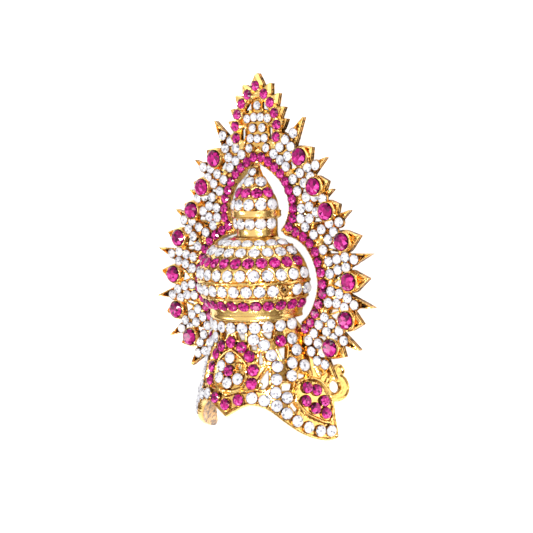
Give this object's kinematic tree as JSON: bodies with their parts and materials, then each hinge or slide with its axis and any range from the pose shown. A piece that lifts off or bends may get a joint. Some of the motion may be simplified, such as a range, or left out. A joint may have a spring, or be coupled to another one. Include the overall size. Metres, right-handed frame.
{
  "type": "deity half crown",
  "caption": "Gold-plated half crown for a temple figure: flat halo with flame points, half dome with bud finial, flared pierced forehead band, set with clear and magenta stones.",
  "frame": {"origin": "middle of the part's bounding box in X and Y, on the surface it lies on", "axes": "+X towards the crown's right as seen from its front, +Y up the crown, +Z out of its front; it lies on its open back"},
  "size_m": [0.0782, 0.1038, 0.0295],
  "materials": {
    "gold": "cast, polished and gold plated",
    "crystal": "colourless cut glass, foil backed",
    "fuchsia": "magenta cut glass, foil backed"
  },
  "bodies": {
    "root": {"halo": "gold", "dome": "gold", "finial": "gold", "band": "gold", "petal_stone_right_1": "fuchsia", "petal_stone_right_2": "fuchsia", "petal_stone_right_3": "fuchsia", "petal_stone_right_4": "fuchsia", "petal_stone_right_5": "fuchsia", "petal_stone_right_6": "fuchsia", "petal_stone_right_7": "fuchsia", "petal_stone_left_1": "fuchsia", "petal_stone_left_2": "fuchsia", "petal_stone_left_3": "fuchsia", "petal_stone_left_4": "fuchsia", "petal_stone_left_5": "fuchsia", "petal_stone_left_6": "fuchsia", "petal_stone_left_7": "fuchsia", "crest_stone_top": "fuchsia", "crest_stone_right_1": "fuchsia", "crest_stone_right_2": "fuchsia", "crest_stone_right_3": "fuchsia", "crest_stone_right_4": "fuchsia", "crest_stone_right_5": "fuchsia", "crest_stone_left_1": "fuchsia", "crest_stone_left_2": "fuchsia", "crest_stone_left_3": "fuchsia", "crest_stone_left_4": "fuchsia", "crest_stone_left_5": "fuchsia", "crest_crystals": "crystal", "dome_row_1": "fuchsia", "dome_row_2": "crystal", "dome_row_3": "crystal", "dome_row_4": "fuchsia", "dome_row_5": "crystal", "dome_row_6": "crystal", "finial_crystals": "crystal", "finial_magentas": "fuchsia", "band_top_row": "crystal", "band_edge_crystals": "crystal", "band_edge_magentas": "fuchsia", "leaf_magentas": "fuchsia", "leaf_crystals": "crystal", "lattice_magentas": "fuchsia", "lattice_crystals_right": "crystal", "lattice_crystals_left": "crystal", "paisley_stones_right": "fuchsia", "paisley_stones_left": "fuchsia"}
  },
  "joints": []
}
